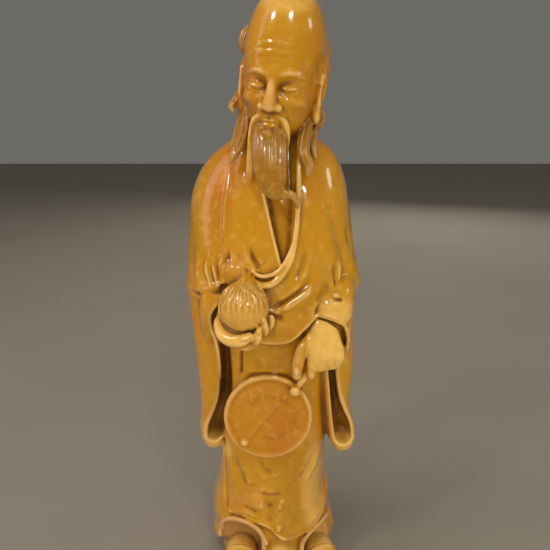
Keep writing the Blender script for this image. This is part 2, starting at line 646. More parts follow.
def add_cuff(clay):
    """The left sleeve opens like a bell at the wrist, and its edge runs on down beside the hand"""
    clay.add(sweep(CUFF, square=2.4), 0.7)
    seam = (
        (21.6, -32, 168.4), (22.2, -32.4, 171.6), (24.6, -33.4, 174.6), (29, -33.6, 175.8),
        (34, -31.4, 175.2),
    )
    clay.cut(sweep(sized(seam, 0.5, 1.3)), 1.8)
    clay.cut(sweep(((30, -39, 156, 11, 9), (28.6, -41, 148, 11, 9))), 0.5)
    fall = (
        (39, -19, 168, 2.6, 6.4), (39.6, -18, 158, 2.2, 6.6), (39.6, -17, 146, 1.9, 6.2),
        (38.6, -16, 134, 1.6, 5),
    )
    clay.add(sweep(fall), 1.0)
    clay.add(blob((31.4, -32.2, 178), (1.8, 1.8, 1.3)), 1.2)


CUFF_EDGE = {
    "gap": (
        (23.4, -30, 165.2, 0.5, 2), (27, -31, 164.8, 1.0, 3.4), (31, -30.4, 163, 1.6, 4.4),
        (34.6, -28.4, 159.8, 2.0, 4.6), (36.6, -26.6, 154.6, 1.5, 4.6), (37.8, -25, 147.4, 0.9, 4.4),
    ),
    "rim": (
        (21.8, -29, 166.8), (25, -32.8, 167.8), (29, -34.8, 167.6), (33.2, -33.8, 165.7),
        (36.3, -31.2, 161.8), (38.3, -28.2, 157), (39.4, -25.6, 151.6), (39.2, -23.4, 145),
        (38.8, -21.4, 138), (38.4, -19.4, 130),
    ),
    "half": 1.05,
    "blend": 0.6,
}
WRIST_EDGE = {
    "gap": (
        (-26.4, -33, 173.6, 0.5, 5), (-28.6, -33, 170.9, 0.9, 6), (-30.3, -33, 167, 1.2, 7),
        (-30.7, -32, 163, 1.3, 8), (-30, -31, 158, 1.3, 8), (-28.2, -30, 153, 1.4, 8),
        (-26.4, -29, 149, 1.2, 8),
    ),
    "rim": (
        (-26.4, -31, 175), (-29.4, -31.6, 172.2), (-32, -31.2, 168.4), (-32.9, -29.8, 164),
        (-32.4, -28.4, 158.4), (-30.9, -27, 152.6), (-29.6, -25.4, 145), (-29.2, -24.4, 137),
        (-29.2, -23, 128),
    ),
    "half": 0.9,
    "blend": 0.7,
}


def add_sleeve_edge(clay, edge):
    """The thin rounded edge of a sleeve at the wrist, with a dark gap between it and the hand"""
    clay.cut(sweep(edge["gap"]), 0.5)
    clay.add(sweep(sized(edge["rim"], edge["half"])), edge["blend"])


def add_wrist_sleeve(clay):
    """The right sleeve's opening at the wrist: a rounded fold that runs down into the mouth"""
    fold = (
        (-31.6, -21, 178, 5.4, 8.6), (-32.4, -24, 171, 5.8, 8.4), (-34, -22, 162, 4.6, 7.8),
        (-33.8, -19, 152, 3.4, 7),
    )
    clay.add(sweep(fold, square=2.3), 1.4)


def add_nail(clay, centre, radii, turn):
    """A finger nail: a shallow bed with the nail in it, rooted in the finger behind"""
    root = 0.5
    x, y, z = centre
    wide, deep, high = radii
    clay.cut(blob(centre, [r + 0.65 for r in radii], turn=turn), 0.2)
    clay.add(blob((x, y + root, z), (wide, deep + root, high), turn=turn), 0.1)


RIGHT_THUMB = (
    (-27, -33, 167, 2, 2.4), (-27, -40, 165.6, 2.6, 2.8), (-25, -45.2, 162.4, 3.1, 3.2),
    (-20.4, -48.6, 160.4, 3.3, 3.2), (-15.3, -50.2, 161, 3.0, 2.8), (-11.4, -50.2, 163, 2.2, 2.0),
)
RIGHT_FINGERS = (
    ((-21, -43, 157.4, 2.6, 2.8), (-14, -45.6, 156.2, 2.5, 2.5), (-9, -45.6, 157.6, 2.1, 2)),
    ((-12, -44, 158.6, 2.5, 2.4), (-8.4, -48.6, 160.2, 2.4, 2.3), (-7.2, -50, 164.4, 1.9, 1.8),
     (-6.7, -49.8, 166.6, 1.6, 1.5)),
    ((-7, -42, 161, 2.3, 2.2), (-4.2, -46.6, 164.2, 2.1, 2), (-4.4, -48.6, 169, 1.7, 1.6),
     (-4.9, -49, 171.8, 1.3, 1.3)),
    ((-5, -39, 162.5, 2.1, 2), (-1.8, -42.8, 165.4, 1.8, 1.7), (-0.7, -44, 169, 1.5, 1.4),
     (-1, -44, 170.8, 1.2, 1.2)),
)


def add_right_hand(clay):
    """The right hand cups the fruit from below, with its thumb across the front and its fingers curling
    up beside it"""
    forearm = ((-36, -6, 176, 7, 7), (-31, -20, 170, 6, 6), (-25, -31, 164.5, 6, 5))
    clay.add(sweep(forearm), 1.5)
    clay.add(blob((-16.4, -37.5, 162.6), (11.4, 10.4, 6)), 1.2)
    clay.add(sweep(RIGHT_THUMB), 0.8)
    for finger in RIGHT_FINGERS:
        clay.add(sweep(finger, step=1.0), 0.5)
    add_nail(clay, (-13.6, -52.3, 162.8), (2.7, 1.1, 1.3), (0, -20, 0))
    add_nail(clay, (-6.9, -51.2, 165.8), (0.9, 0.9, 1.8), (-8, 8, 0))
    add_nail(clay, (-4.7, -50.2, 170.8), (0.7, 0.8, 1.3), (-8, -6, 0))
    for x, z in ((-18, 163), (-19.8, 162.8)):
        clay.cut(sweep(sized(((x, -51.9, z), (x - 0.6, -52.3, z - 2.6)), 0.4), step=1.0), 0.5)


FRUIT_CENTRE = (-14.6, -41, 175.2)
FRUIT_TURN = (-8, -12, 0)


def fruit_shape(x, y, z):
    """Ridges run down from the stalk and fade out below the middle, where broad valleys go on"""
    angle = np.arctan2(y, x)
    bent = angle + 0.2 * np.sin(2.6 * z + 2 * angle) + 0.07 * np.sin(8 * z + 5 * angle)
    upper = smoothstep(z, -0.3, 0.45) * (1 - 0.4 * smoothstep(z, 0.92, 1))
    valleys = 0.085 * (0.5 + 0.5 * np.cos(5 * bent + 0.8)) ** 5
    veins = 0.06 * np.abs(np.sin(4.5 * bent + 0.9 * np.sin(2 * angle))) + 0.026 * np.cos(19 * bent)
    veins = veins + 0.016 * np.cos(31 * bent + 2 * np.sin(3 * angle))
    return 1.03 - upper * veins - (0.35 + 0.65 * upper) * valleys


def fruit_form():
    return blob(FRUIT_CENTRE, [FRUIT_RADIUS] * 3, turn=FRUIT_TURN, shape=fruit_shape)


def add_fruit(clay):
    """A round fruit that hangs from the cloth by a broad stringy stalk"""
    clay.add(fruit_form(), 0.6)
    stalk = (
        (-14, -41, 181, 7.6, 6.4), (-13.6, -40.4, 184.2, 5.4, 4.6), (-13, -38.4, 186.6, 4, 3.2),
        (-12.6, -35, 188.4, 3.4, 2.6),
    )
    clay.add(sweep(stalk, ripple=strands(9, 0.1), step=0.8), 0.8)


LEFT_HAND_BACK = (
    (26.8, -22, 168, 5.2, 5), (26.2, -27, 162, HAND_WIDTH / 2 - 4.2, 5.6),
    (26, -30.4, 155, HAND_WIDTH / 2 - 1.8, 6.2), (26.8, -33, 146.5, HAND_WIDTH / 2, 6),
    (27.4, -32.5, 141.6, HAND_WIDTH / 2 - 1.2, 4.6),
)
LEFT_THUMB = (
    (20, -31, 155, 3.4, 3.4), (14.8, -35, 149.6, 3.2, 3), (12.4, -37, 141.4, 2.9, 2.6),
    (12, -36.5, 135.5, 2.2, 2),
)


def left_fingers():
    """Four bent fingers below their knuckles. The index finger reaches furthest down."""
    for x, low in ((19.6, 133.4), (24, 137.8), (28.6, 139.8), (33, 142.2)):
        yield (
            (x, -34.2, low + 8, 2.5, 3), (x, -34.6, low + 2.6, 2.5, 2.8), (x + 0.4, -31, low, 2.3, 2.3),
        )


def add_left_hand(clay):
    """The left hand hangs from its cuff, back to the front, and pinches the fan's handle"""
    clay.add(sweep(LEFT_HAND_BACK, square=3), 0.8)
    clay.add(sweep(LEFT_THUMB), 1.2)
    for finger in left_fingers():
        clay.add(sweep(finger, step=1.0), 0.9)
    for x, z in ((21.8, 143), (26.3, 145.6), (30.8, 147.6)):
        clay.cut(sweep(((x, -39.6, z - 1, 0.5, 0.6), (x + 0.2, -37, z - 6.4, 0.3, 0.5)), step=1.0), 1.2)
    add_nail(clay, (11.7, -39.6, 139.2), (1.6, 0.8, 2.9), (8, 0, 0))


# A flat round fan with a raised rim. Two studs mark the ends of its rib.
FAN_CENTRE = np.array((-2.9, -33.5, 110.6))
FAN_LEAN = -5
FAN_HALF = 2.4
FAN_RIM = 3.0
UPPER_STUD = (11.2, -36, 126.4)
LOWER_STUD = (-15.6, -36.6, 96.6)


def fan_form():
    """The fan's disc: flat within, with a rounded rim that stands proud"""
    lean = rotation((FAN_LEAN, 0, 0))

    def distance(x, y, z):
        dx, dy, dz = x - FAN_CENTRE[0], y - FAN_CENTRE[1], z - FAN_CENTRE[2]
        across, ahead, up = (dx * lean[0, n] + dy * lean[1, n] + dz * lean[2, n] for n in range(3))
        r = np.hypot(across, up)
        middle = FAN_RADIUS - FAN_RIM / 2
        strength = 0.7 + 0.3 * np.clip(up / FAN_RADIUS, -1, 1)
        rim = 0.8 * np.sqrt(np.maximum(1 - ((r - middle) / (FAN_RIM / 2)) ** 2, 0))
        groove = 0.55 * np.exp(-(((r - FAN_RADIUS + FAN_RIM + 0.3) / 0.6) ** 2))
        crown = 0.9 * (1 - (r / FAN_RADIUS) ** 2)
        front = -ahead - (FAN_HALF - 0.9 + crown + strength * (rim - groove))
        return np.maximum(np.maximum(front, ahead - FAN_HALF), r - FAN_RADIUS).astype(np.float32)

    reach = np.array((FAN_RADIUS, 8, FAN_RADIUS)) + 1
    return [(FAN_CENTRE - reach, FAN_CENTRE + reach, distance)]


def on_fan(across, up, proud=0.0):
    """A place on the fan's face"""
    crown = 0.9 * (1 - (math.hypot(across, up) / FAN_RADIUS) ** 2)
    return FAN_CENTRE + rotation((FAN_LEAN, 0, 0)) @ np.array((across, 0.9 - FAN_HALF - crown - proud, up))


def add_fan(clay):
    """The fan, with its studs, its rib and faint strokes like leaves on its face"""
    clay.add(fan_form(), 0.6)
    clay.add(blob(UPPER_STUD, (2.7, 2.6, 2.7)), 0.5)
    clay.add(blob(LOWER_STUD, (2.3, 1.9, 2.3)), 0.7)
    rib = [on_fan(across, up) for across, up in ((-10, -11), (-1, 0), (9, 11))]
    clay.add(sweep(sized(rib, 0.5)), 1.4)
    beside = [on_fan(across, up, 0.2) for across, up in ((-8, -11), (0.6, -1), (8, 7.5))]
    clay.cut(sweep(sized(beside, 0.35)), 0.7)
    for sprig in range(7):
        angle = math.radians(-95 + 37 * sprig)
        middle = np.array((10.5 * math.cos(angle) + 1, 9.5 * math.sin(angle) - 1))
        for leaf in (-1, 0, 1):
            lean = angle + 0.75 * leaf
            ahead = np.array((math.cos(lean), math.sin(lean)))
            places = [(middle + reach * ahead, half) for reach, half in ((0.8, 0.3), (3, 0.85), (5.8, 0.2))]
            clay.cut(sweep([(*on_fan(*place), half, half) for place, half in places], step=0.8), 0.6)
    handle = ((12.4, -34, 127.6, 1.6, 1.3), (15, -34.4, 131.6, 1.6, 1.4), (18.6, -33.6, 137, 1.7, 1.5))
    clay.add(sweep(handle), 0.8)


# Shoes with rounded, slightly lifted toes, each under an arch in the hem
SHOES = (
    {"x": -18.6, "turn": -3, "arch_x": -18.2, "arch_z": 42, "arch_half": 12.6},
    {"x": 25, "turn": 12, "arch_x": 27.4, "arch_z": 34, "arch_half": 11},
)
HEEL_Y = -10
ARCH_BACK_Y = -19


def add_shoe(clay, shoe):
    out = math.radians(shoe["turn"])
    half, middle = SHOE_WIDTH / 2, SHOE_HEIGHT / 2

    def place(forward, side, z):
        x = shoe["x"] + forward * math.sin(out) + side * math.cos(out)
        return x, HEEL_Y - forward * math.cos(out) + side * math.sin(out), z

    body = (
        (*place(0, 0, middle), half, middle),
        (*place(12, 0, middle), half + 0.8, middle + 0.4),
        (*place(21, 0, middle), half + 1.2, middle + 0.2),
        (*place(28.5, 0, middle - 0.4), half - 0.4, middle - 1.4),
        (*place(34, 0, middle), half - 3.8, middle - 4.6),
    )
    clay.add(sweep(body, face=UP), 0.8)
    band, steps = [], 8
    for i in range(steps + 1):
        turned = math.pi * (i - steps / 2) / (steps + 1)
        across = (half + 0.8) * math.sin(turned)
        band.append(place(15 + 5 * math.cos(turned), across, middle + middle * math.cos(turned)))
    clay.add(sweep(sized(band, 0.9)), 1.0)
    clay.cut(sweep(sized([(x, y + 1.6, z + 0.4) for x, y, z in band], 0.5)), 0.6)


def arch_form(shoe):
    """The opening in the hem over a shoe"""
    half = shoe["arch_half"]
    spring_z = shoe["arch_z"] - half

    def distance(x, y, z):
        across = x - shoe["arch_x"]
        ring = np.hypot(across, np.maximum(z - spring_z, 0)) - half
        return (np.maximum(ring, y - ARCH_BACK_Y) + 0 * z).astype(np.float32)

    low = np.array((shoe["arch_x"] - half, -60, -5))
    return [(low, np.array((shoe["arch_x"] + half, ARCH_BACK_Y, shoe["arch_z"])), distance)]


def add_arch_rim(clay, shoe):
    """A thick rolled edge that follows the opening, down to where the hem ends"""
    steps, half = 12, shoe["arch_half"]
    spring_z = shoe["arch_z"] - half
    turns = [math.pi * i / steps for i in range(steps + 1)]
    points = [
        on_robe(shoe["arch_x"] + half * math.cos(turn), spring_z + half * math.sin(turn)) for turn in turns
    ]
    inner_first = shoe["arch_x"] < 0
    inner = points[0] if inner_first else points[-1]
    foot = (inner[0], inner[1] + 2, 3)
    line = [foot, *points] if inner_first else [*points, foot]
    clay.add(sweep(sized(line, 1.35, 1.7)), 0.8)


# The head is made upright and then bowed, tipped to its left and turned to its right. Its brow is at
# 0, the base of its nose at -15 and its chin at -30.
BROW_BELOW_CROWN = 42
HEAD_TURN = rotation((0, 7, 0)) @ rotation((0, 0, -13)) @ rotation((8, 0, 0))
HEAD = (HEAD_TURN, np.array((4.6, -8, CROWN_Z - BROW_BELOW_CROWN)))
SKULL = ((0, 2, 7), (20.5, 22.5, 35))
JAW = ((0, -3, -12), (15.5, 17.5, 19.5))


def on_face(x, z, proud=0.0):
    """A place on the front of the bare head, or that far in front of it"""
    fronts = []
    for (middle_x, middle_y, middle_z), (wide, deep, high) in (SKULL, JAW):
        left = 1 - ((x - middle_x) / wide) ** 2 - ((z - middle_z) / high) ** 2
        fronts.append(middle_y - deep * math.sqrt(max(left, 0.02)))
    return x, min(fronts) - proud, z


def add_skull(clay):
    clay.add(blob(*SKULL, pose=HEAD), 2)
    clay.add(blob(*JAW, pose=HEAD), 5)
    for s in (-1, 1):
        clay.add(blob((9.6 * s, -11.6, -10), (6.2, 6.6, 5.2), turn=(0, 12 * s, 0), pose=HEAD), 3)
        clay.cut(blob((22 * s, -9, 2), (4, 8, 8), pose=HEAD), 4)
        clay.cut(blob((14.6 * s, -17.6, -20), (3.6, 5, 6), pose=HEAD), 4)


def add_brows(clay):
    """Sockets for the eyes, and level brows over them"""
    for s in (-1, 1):
        clay.cut(blob((7.8 * s, -21, -4.6), (5.6, 4.6, 3.9), turn=(0, 8 * s, 0), pose=HEAD), 2.6)
        points = ((2.6, 0.4, 0.7), (5.4, 1.7, 1.35), (9.2, 2.2, 1.35), (13.6, 0.4, 0.6))
        brow = [(*on_face(x * s, z, 0.1), half, 1.2 * half) for x, z, half in points]
        clay.add(sweep(brow, pose=HEAD, step=0.8), 1.5)
        for i in range(7):
            x = 3.6 + 1.35 * i
            z = 1.9 - 0.07 * (x - 7.6) ** 2
            hair = [on_face(x * s, z - 0.9, 1.5), on_face((x + 1.5) * s, z + 0.9, 1.6)]
            clay.cut(sweep(sized(hair, 0.28), pose=HEAD, step=0.6), 0.4)


# An eye's middle, across and up from the middle of the brow, and its half sizes
EYE = (7.6, -5.2)
EYE_RADII = (5.4, 3.6, 3.6)
EYE_SUNK = 1.9


def on_eye(side, across, up, proud=0.0):
    """A place on one eye, across from its middle towards the ear and up from it"""
    x, z = EYE
    wide, deep, high = EYE_RADII
    left = 1 - (across / wide) ** 2 - (up / high) ** 2
    y = on_face(x, z)[1] + EYE_SUNK - deep * math.sqrt(max(left, 0.02))
    return (x + across) * side, y - proud, z + up


def eye_form(side):
    x, z = EYE
    return blob((x * side, on_face(x, z)[1] + EYE_SUNK, z), EYE_RADII, pose=HEAD)


def add_eyes(clay):
    """Eyes that look down, almost closed under broad lids"""
    for s in (-1, 1):
        clay.add(eye_form(s), 0.5)
        lower = ((-4.4, -0.9, 0.5), (-2.2, -2.5, 0.75), (1, -2.8, 0.8), (4.5, -1.1, 0.5))
        lower = [(*on_eye(s, x, z), half, half) for x, z, half in lower]
        clay.add(sweep(lower, pose=HEAD, step=0.7), 0.4)
        slit = ((-4.2, 0.3), (-2.2, -0.7), (0.3, -1.1), (2.8, -0.6), (4.4, 0.5))
        slit = [on_eye(s, x, z) for x, z in slit]
        clay.cut(sweep(sized(slit, 0.6, 0.8), pose=HEAD, step=0.7), 0.2)
        edge = ((-4, 1.3), (-2, 0.4), (0.3, 0.1), (2.6, 0.6), (4.2, 1.5))
        edge = [on_eye(s, x, z, -0.1) for x, z in edge]
        clay.add(sweep(sized(edge, 0.5), pose=HEAD, step=0.7), 0.4)
        fold = [on_eye(s, x, z, 0.1) for x, z in ((-4, 1.5), (-1.4, 2.6), (1.6, 2.7), (4.3, 1.6))]
        clay.cut(sweep(sized(fold, 0.45), pose=HEAD, step=0.7), 0.5)
        bag = [on_face(x * s, z, -0.6) for x, z in ((4.4, -9.4), (8, -10.6), (12, -9))]
        clay.add(sweep(sized(bag, 0.8, 0.9), pose=HEAD, step=0.8), 1.6)


def add_nose(clay):
    """A straight nose as wide as the space between the eyes"""
    bridge = (
        (0, -19.2, 3, 2.8, 1.6), (0, -20.2, -1, 2.3, 2.0), (0, -21.6, -6, 2.4, 2.6),
        (0, -22.8, -10.4, 3.1, 2.9), (0, -23.2, -12.8, 3.4, 2.6),
    )
    clay.add(sweep(bridge, pose=HEAD, step=0.8), 1.6)
    for s in (-1, 1):
        clay.add(blob((3.8 * s, -21.2, -13.2), (2.3, 3, 2.1), turn=(0, 0, 16 * s), pose=HEAD), 1.2)
        clay.cut(blob((2.0 * s, -23.4, -15.5), (0.9, 1.5, 0.8), pose=HEAD), 0.4)
        wing = ((4 * s, -24, -11.2), (5.9 * s, -22, -11.8), (6.4 * s, -20, -14.2))
        clay.cut(sweep(sized(wing, 0.3), pose=HEAD, step=0.7), 0.6)


def add_mouth(clay):
    """Closed lips in a slight calm smile, the folds beside them, and the chin"""
    clay.add(blob((0, -15.8, -20), (7.4, 4.6, 5.2), pose=HEAD), 3)
    upper = (
        (-5, -18.6, -19.9, 0.5), (-2, -20.7, -19.2, 0.95), (0, -20.7, -19.5, 0.8),
        (2, -20.7, -19.2, 0.95), (5, -18.6, -19.9, 0.5),
    )
    lower = (
        (-4, -18.8, -21.2, 0.6), (-1.8, -20.2, -21.8, 1.15), (1.8, -20.2, -21.8, 1.15),
        (4, -18.8, -21.2, 0.6),
    )
    for lip in (upper, lower):
        clay.add(sweep([(x, y, z, half, 1.15 * half) for x, y, z, half in lip], pose=HEAD, step=0.8), 0.5)
    parting = (
        (-5.6, -18.8, -20.1), (-2.6, -21.2, -20.6), (0, -21.9, -20.3), (2.6, -21.2, -20.6),
        (5.6, -18.8, -20.1),
    )
    clay.cut(sweep(sized(parting, 0.32), pose=HEAD, step=0.7), 0.4)
    clay.cut(sweep(((0, -21, -16.6, 0.5, 0.5), (0, -21.4, -18.4, 0.6, 0.5)), pose=HEAD, step=0.7), 0.8)
    clay.add(blob((0, -16.4, -27), (5, 4.2, 4), pose=HEAD), 2)
    for s in (-1, 1):
        beside = ((5.6, -13.2, 0.3), (8.2, -16.6, 0.6), (9.2, -21.4, 0.4))
        line = [(*on_face(x * s, z, 0.3), half, half) for x, z, half in beside]
        clay.cut(sweep(line, pose=HEAD, step=0.8), 1.4)


def add_wrinkles(clay):
    """Three shallow lines across the forehead"""
    for z, half in ((8.4, 8), (12, 10), (15.8, 7.5)):
        line = []
        for t in (-1, -0.5, 0, 0.5, 1):
            groove = 0.5 - 0.3 * t * t
            line.append((*on_face(half * t, z + 0.5 * math.cos(3 * t)), groove, groove))
        clay.cut(sweep(line, pose=HEAD, step=1.0), 1.0)


def add_ears(clay):
    for s in (-1, 1):
        turn = (-10, 6 * s, 18 * s)
        clay.add(blob((19.6 * s, 0, -6), (2.4, 5.2, 9.5), turn=turn, pose=HEAD), 1.2)
        clay.add(blob((19 * s, -1.4, -16), (2.4, 3.2, 5.6), pose=HEAD), 1.4)
        clay.cut(blob((21.6 * s, -2.2, -5), (1.6, 2.6, 5.6), turn=turn, pose=HEAD), 0.8)
        helix = (
            (19.4 * s, -4, -1.5), (20.4 * s, -2.5, 2), (21 * s, 1.5, 3.2), (21.2 * s, 4.4, -0.5),
            (20.6 * s, 4, -8), (19.8 * s, 0.6, -13),
        )
        clay.add(sweep(sized(helix, 1.0), face=(s, 0, 0), pose=HEAD, step=1.0), 0.7)


def strands(count, depth, wave=0.35):
    """A ripple like strands of hair that wander a little along their length"""

    def ripple(angle, run):
        drift = 0.9 * np.sin(wave * run) + 0.5 * np.sin(0.6 * wave * run + 2)
        coarse = np.cos(count * angle + drift)
        fine = np.cos(2.3 * count * np.sin(angle / 2) + 1.7 * drift)
        return 1 + depth * coarse + 0.5 * depth * fine

    return ripple


def add_moustache(clay):
    """From under the nose a band of hair hangs down on each side, past the mouth and onto the beard"""
    for s in (-1, 1):
        band = (
            (1.4 * s, -20.9, -17, 0.7, 0.7), (4.6 * s, -20.2, -17.6, 1.2, 0.9),
            (7.4 * s, -18.8, -20.6, 2.0, 1.0), (8.2 * s, -18.2, -27, 2.3, 1.3),
            (7.9 * s, -19.6, -37, 2.3, 1.3), (6.9 * s, -22.4, -47, 2.0, 1.2),
            (6 * s, -24.4, -56, 0.9, 0.8),
        )
        clay.add(sweep(band, ripple=strands(7, 0.06, wave=0.12), pose=HEAD, step=1.2), 0.5)
    clay.add(tuft_form(), 0.6)


def tuft(x, y, z):
    """Hair that curls round a point, on a unit sphere"""
    return 1 + 0.12 * np.cos(5 * np.arctan2(z, x) + 7 * np.hypot(x, z))


def tuft_form():
    return blob((0.2, -22.8, -26), (3, 1.9, 2.8), shape=tuft, pose=HEAD)


HAIR_KNOT = np.array((0, 13, 30))


def combed(x, y, z):
    """Strands that run together to the knot, on a unit sphere"""
    towards = unit(HAIR_KNOT)
    across = x
    back = y * towards[2] - z * towards[1]
    angle = np.arctan2(across, back)
    along = y * towards[1] + z * towards[2]
    return 1 + 0.014 * np.cos(34 * angle + 2.4 * np.sin(3 * along)) + 0.008 * np.cos(61 * angle)


def add_hair(clay):
    """Hair grows from behind the ears and is drawn up to a knot"""
    cap = Clay()
    cap.add(blob((0, 6.5, 2), (21.9, 20.9, 27.4), shape=combed, pose=HEAD), 0.5)
    cap.cut(blob((0, -29.5, 18), (40, 30, 60), pose=HEAD), 1.2)
    clay.join(cap, 0.8)
    clay.add(blob(HAIR_KNOT, (8, 7, 8.5), turn=(30, 0, 0), shape=combed, pose=HEAD), 0.8)
    clay.add(blob((0, 14, 23.5), (8.8, 7.6, 3), turn=(30, 0, 0), pose=HEAD), 0.6)


# Locks of hair lie on the shoulders, and one long fall of hair lies down the back
LOCKS = (
    ((-11.5, -6, 270, 3.4, 3), (-13.6, -12, 259, 3, 2.6), (-16.4, -18.6, 251.4, 2.7, 2.3),
     (-19, -22.4, 246.6, 2.2, 1.9), (-20.6, -24, 243.2, 1.2, 1.2)),
    ((-14.6, -3, 266, 3, 2.6), (-17.6, -9, 257, 2.3, 2), (-20.6, -15, 250.6, 1.2, 1.2)),
    ((18, -5, 272, 3.4, 3), (17, -11, 261, 3, 2.6), (14.8, -18, 252.6, 3, 2.4),
     (15.2, -22.2, 246.6, 2.9, 2.4), (17.4, -24.4, 241.4, 2.4, 2), (16.6, -26.8, 237, 1.3, 1.2)),
    ((21.4, 0, 270, 3, 2.8), (20.8, -6, 260, 2.6, 2.4), (19.6, -13.6, 251.6, 2.2, 1.9),
     (20.6, -18, 245, 1.1, 1.1)),
    ((22, 5, 302, 2.4, 3), (26, 3.6, 299.4, 2.3, 3), (27.2, 2.4, 294, 2.2, 2.8), (25.2, 2, 288.6, 1.9, 2.4),
     (22.6, 0.6, 285, 1.2, 1.6)),
    ((-11, 6, 307, 2.4, 3), (-14, 5, 304, 2.6, 3.4), (-14.8, 4, 299.6, 2.5, 3.2), (-13.4, 3, 295, 2, 2.4)),
    ((-15.6, -2, 276, 3, 2.6), (-18.8, -2.6, 272, 2.5, 2.2), (-21, -4.4, 269.4, 1.9, 1.8),
     (-20.4, -6.4, 266.6, 1, 1)),
    ((22, 1, 270, 3, 2.8), (24.2, -0.6, 264, 2.4, 2.2), (23.2, -4, 259.4, 1.8, 1.6),
     (20.6, -5.6, 257.6, 1, 1)),
)
HAIR_FALL = (
    (5, 14, 283, 15, 6), (4, 18, 262, 15, 6), (2, 24, 244, 14, 5), (1, 29.5, 226, 9, 3.6),
    (0, 31, 212, 3, 2),
)


def add_locks(clay):
    for lock in LOCKS:
        clay.add(sweep(lock, ripple=strands(7, 0.13, wave=0.2), step=1.0), 0.5)
    clay.add(sweep(HAIR_FALL, ripple=strands(18, 0.05, wave=0.12)), 0.8)


BEARD = (
    (-1.6, -18.5, 262, 7.2, 3.4), (-2, -24, 253.5, 8.4, 4), (-1.8, -28.6, 243, 8.2, 4.2),
    (-0.8, -31.4, 235, 7, 3.8), (1, -32.6, 230.6, 5, 3.2), (5, -33.6, 228.8, 2.8, 2.4),
    (8.4, -34.2, 228.6, 2, 1.9), (10.9, -34.6, 226.4, 1.6, 1.6), (11.6, -34.4, 222.6, 0.8, 0.9),
)


def add_beard(clay):
    """A long flat beard of straight strands grows from the chin. Its tip curls to the figure's left."""
    clay.add(sweep(BEARD, square=2.5, ripple=strands(19, 0.05, wave=0.06), step=1.2), 0.7)


def add_neck(clay):
    neck = ((0, 1, 246, 12, 11), (2, -3, 262, 11, 11), (3.5, -5, 274, 11.5, 12))
    clay.add(sweep(neck), 2)


def sculpt():
    clay = Clay()
    add_robe(clay)
    for shoe in SHOES:
        clay.cut(arch_form(shoe), 1.2)
        add_arch_rim(clay, shoe)
        add_shoe(clay, shoe)
    for sleeve in (RIGHT_SLEEVE, LEFT_SLEEVE):
        add_sleeve(clay, sleeve)
    add_elbows(clay)
    add_cuff(clay)
    add_wrist_sleeve(clay)
    add_collars(clay)
    add_left_hand(clay)
    add_sleeve_edge(clay, CUFF_EDGE)
    add_fan(clay)
    add_right_hand(clay)
    add_sleeve_edge(clay, WRIST_EDGE)
    add_fruit(clay)
    add_neck(clay)
    add_skull(clay)
    add_brows(clay)
    add_eyes(clay)
    add_nose(clay)
    add_mouth(clay)
    add_wrinkles(clay)
    add_ears(clay)
    add_hair(clay)
    add_moustache(clay)
    add_locks(clay)
    add_beard(clay)
    return clay


def soften(field):
    """Rounds every edge a little, as a coat of glaze does"""
    for n in range(3):
        padded = np.pad(field, [(1, 1) if k == n else (0, 0) for k in range(3)], mode="edge")
        padded = np.moveaxis(padded, n, 0)
        field = np.moveaxis(0.5 * padded[1:-1] + 0.25 * (padded[:-2] + padded[2:]), 0, n)
    return field


def mesh_of(points, faces):
    """A mesh from arrays of points and of faces with the same number of corners"""
    mesh = bpy.data.meshes.new("clay")
    corners = faces.shape[1]
    mesh.vertices.add(len(points))
    mesh.vertices.foreach_set("co", points.astype(np.float32).ravel())
    mesh.loops.add(faces.size)
    mesh.loops.foreach_set("vertex_index", faces.astype(np.int32).ravel())
    mesh.polygons.add(len(faces))
    mesh.polygons.foreach_set("loop_start", np.arange(0, faces.size, corners, dtype=np.int32))
    mesh.update(calc_edges=True)
    mesh.validate()
    return mesh


def largest_part(points, faces):
    """The skin without the small bubbles that are left where forms meet"""
    label = np.arange(len(points))
    while True:
        least = label[faces].min(axis=1)
        lower = label.copy()
        for corner in faces.T:
            np.minimum.at(lower, corner, least)
        lower = lower[lower]
        if np.array_equal(lower, label):
            break
        label = lower
    kept = faces[label[faces[:, 0]] == np.bincount(label).argmax()]
    used, index = np.unique(kept, return_inverse=True)
    return points[used], index.reshape(kept.shape)


def skin_of(clay):
    """The skin of the clay as an object in metres, cut flat where the figurine stands"""
    grid = openvdb.FloatGrid(FAR)
    grid.copyFromArray(np.ascontiguousarray(clay.field), tolerance=0.0)
    grid.transform = openvdb.createLinearTransform(voxelSize=VOXEL)
    points, quads = largest_part(*grid.convertToQuads(0.0))
    dense = bpy.data.objects.new("dense", mesh_of((points + CLAY_LOW) * MM, quads))
    bpy.context.scene.collection.objects.link(dense)
    thin = dense.modifiers.new("thin", "DECIMATE")
    thin.ratio = min(1.0, TRIANGLES / (2 * len(quads)))
    ready = dense.evaluated_get(bpy.context.evaluated_depsgraph_get())
    mesh = bpy.data.meshes.new_from_object(ready)
    bpy.data.objects.remove(dense)
    mesh.validate()
    mesh.polygons.foreach_set("use_smooth", np.ones(len(mesh.polygons), bool))
    piece = bpy.data.objects.new("glazed_elder", mesh)
    bpy.context.scene.collection.objects.link(piece)
    return piece


def moving_mean(values, half):
    """The mean over half cells to both sides, along each axis in turn"""
    for n in range(3):
        values = np.moveaxis(values, n, 0)
        padded = np.pad(values, [(half + 1, half), (0, 0), (0, 0)], mode="edge")
        total = np.cumsum(padded, axis=0)
        values = (total[2 * half + 1 :] - total[: -2 * half - 1]) / (2 * half + 1)
        values = np.moveaxis(values, 0, n)
    return values


def read_at(grid, cell, places):
    """A grid's values at any places, between its cells too"""
    at = (places - CLAY_LOW) / cell
    first = np.clip(np.floor(at).astype(int), 0, np.array(grid.shape) - 2)
    share = at - first
    found = 0
    for corner in np.ndindex(2, 2, 2):
        weight = np.prod(np.where(corner, share, 1 - share), axis=1)
        found = found + weight * grid[tuple((first + corner).T)]
    return found


